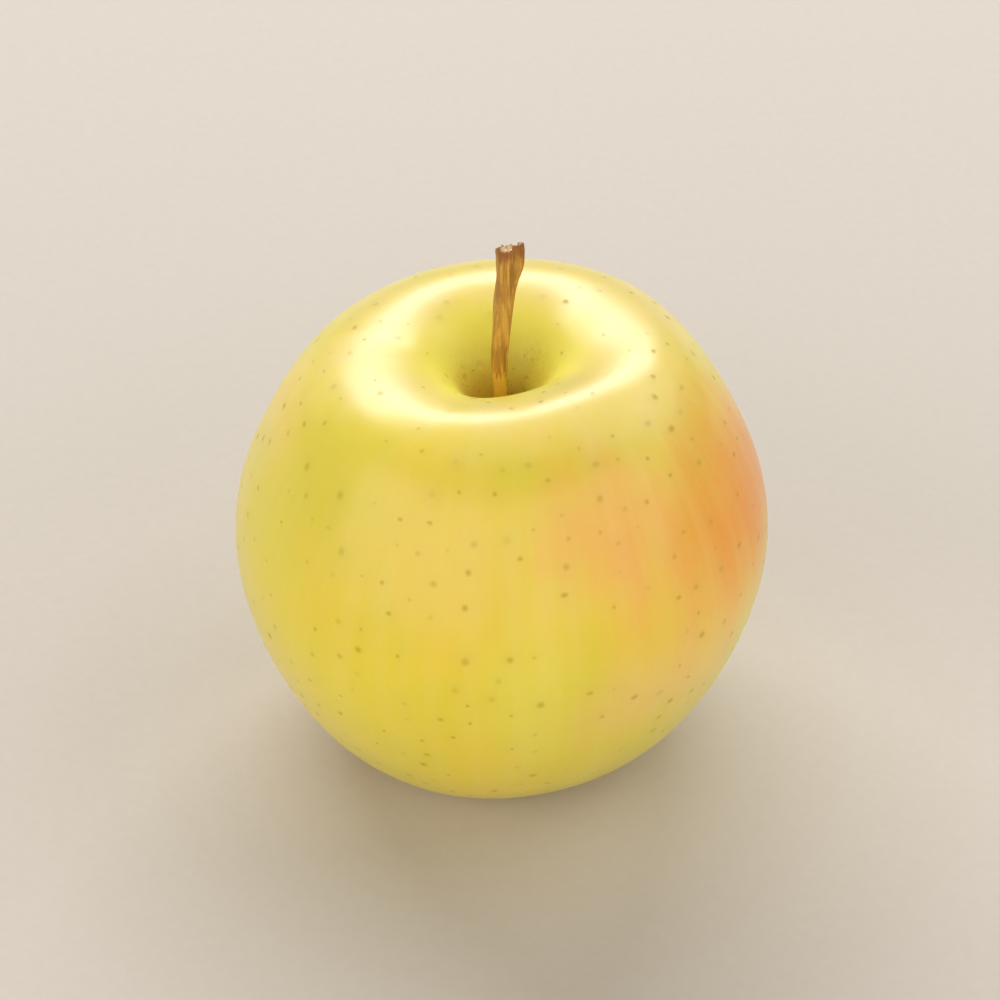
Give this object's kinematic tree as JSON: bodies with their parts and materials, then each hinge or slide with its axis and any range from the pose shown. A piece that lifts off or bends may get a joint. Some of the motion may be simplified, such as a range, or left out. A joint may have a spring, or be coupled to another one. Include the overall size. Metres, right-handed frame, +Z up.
{
  "type": "whole yellow apple",
  "caption": "Whole yellow apple with an orange blush, standing upright, with its woody stem in a deep cavity and a dried calyx underneath.",
  "frame": {"origin": "on the ground under the middle of the fruit, which stands on the feet round its calyx", "axes": "+Z up along the core towards the stem, -Y towards the front with +X to the right"},
  "size_m": [0.0884, 0.0887, 0.0946],
  "materials": {
    "skin": "satin",
    "stem_bark": "matte",
    "calyx_husk": "matte"
  },
  "bodies": {
    "root": {"apple": "skin", "stem": "stem_bark", "calyx": "calyx_husk"}
  },
  "joints": []
}
